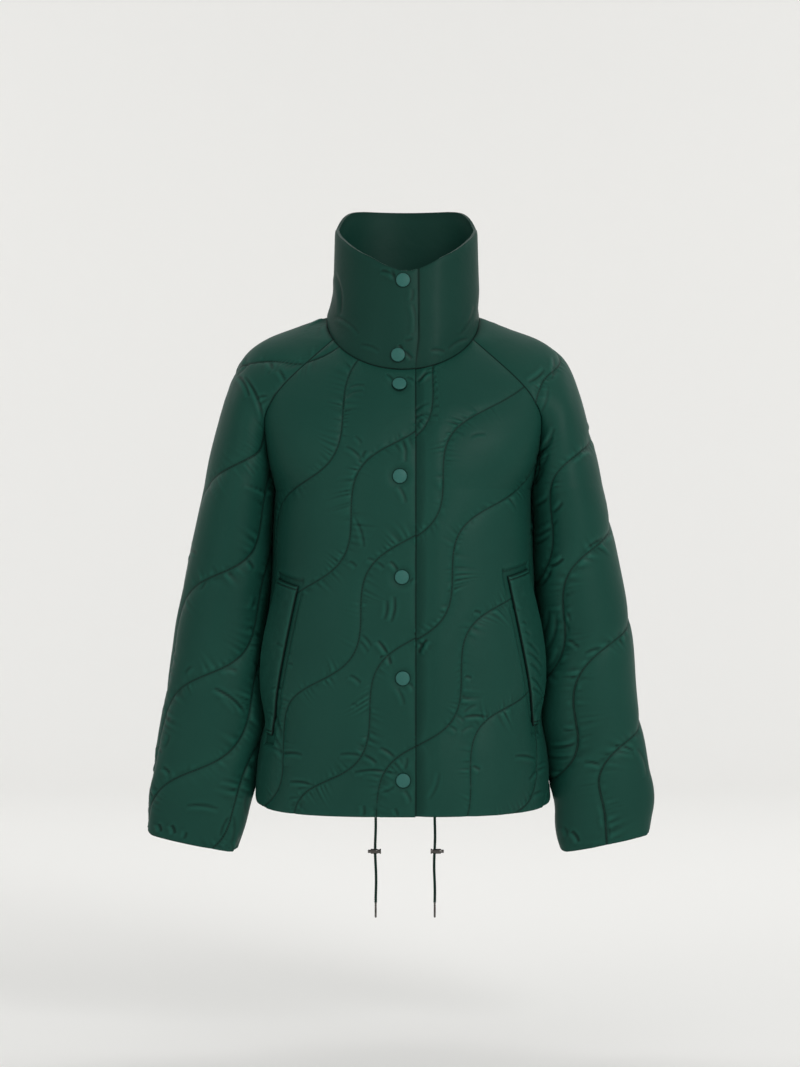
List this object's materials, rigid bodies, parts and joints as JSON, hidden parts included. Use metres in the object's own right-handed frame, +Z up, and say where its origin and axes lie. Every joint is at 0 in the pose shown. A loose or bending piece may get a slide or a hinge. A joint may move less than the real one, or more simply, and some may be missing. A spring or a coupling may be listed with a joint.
{
  "type": "quilted jacket",
  "caption": "Short wavy-quilted jacket, filled out as worn, with a tall stand-up collar, raglan sleeves, snap front, slanted welt pockets and a hem drawcord.",
  "frame": {"origin": "middle of the neck opening, between the shoulders' inner ends, where the wearer's neck holds the jacket", "axes": "+Z up, -Y the jacket's front, +X the wearer's left"},
  "size_m": [0.6325, 0.277, 0.8702],
  "materials": {
    "shell": "dull sheen",
    "cap": "satin enamel",
    "cord": "braided",
    "metal": "polished"
  },
  "bodies": {
    "root": {"front_right": "shell", "front_left": "shell", "back": "shell", "sleeve_right": "shell", "sleeve_left": "shell", "collar": "shell", "welt_right": "shell", "welt_left": "shell", "snap_front_1": "cap", "snap_front_2": "cap", "snap_front_3": "cap", "snap_front_4": "cap", "snap_front_5": "cap", "snap_collar_1": "cap", "snap_collar_2": "cap", "drawcord_right": "cord", "drawcord_left": "cord", "cord_lock_right": "metal", "cord_lock_left": "metal", "cord_tip_right": "metal", "cord_tip_left": "metal"}
  },
  "joints": []
}
